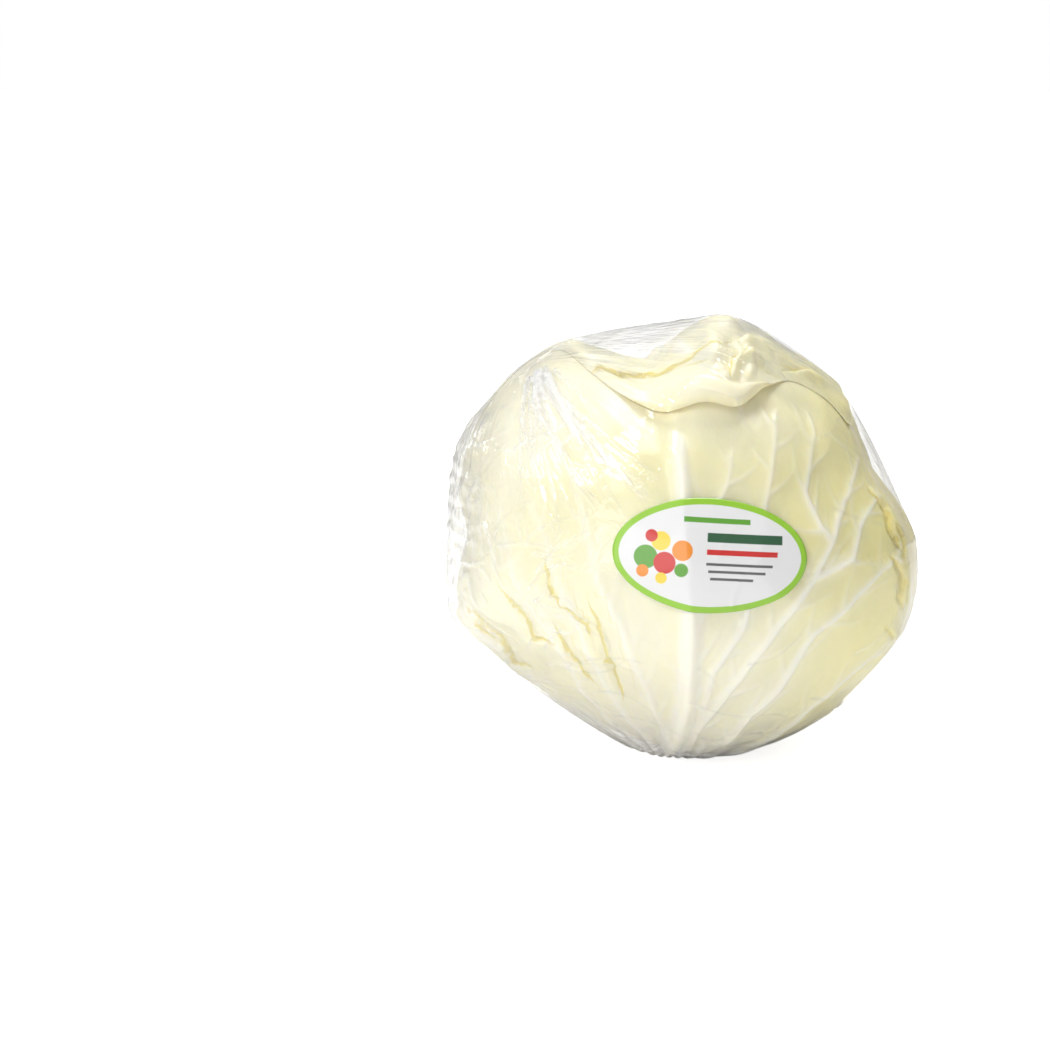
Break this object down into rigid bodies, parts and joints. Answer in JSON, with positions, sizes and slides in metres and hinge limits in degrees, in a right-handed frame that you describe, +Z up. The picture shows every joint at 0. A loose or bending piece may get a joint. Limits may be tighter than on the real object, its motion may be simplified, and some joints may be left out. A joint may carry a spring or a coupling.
{
  "type": "cabbage head",
  "caption": "Whole peeled cabbage head with overlapping ribbed leaves, wrapped in clear stretch film with an oval sticker, resting on a flattened base.",
  "frame": {"origin": "centre of the footprint on the surface that the head rests on", "axes": "+Z up, -Y towards the front of the head, where the sticker is, +X to the right as seen from the front"},
  "size_m": [0.2105, 0.2031, 0.1965],
  "materials": {
    "heart": "satin",
    "cut_stalk": "matte",
    "leaf": "satin",
    "film": "gloss",
    "label": "satin"
  },
  "bodies": {
    "root": {"heart": "heart", "cut_stalk": "cut_stalk", "wrapper_leaf_back": "leaf", "wrapper_leaf_right": "leaf", "wrapper_leaf_front": "leaf", "wrapper_leaf_left": "leaf", "film_wrap": "film", "label": "label"}
  },
  "joints": []
}
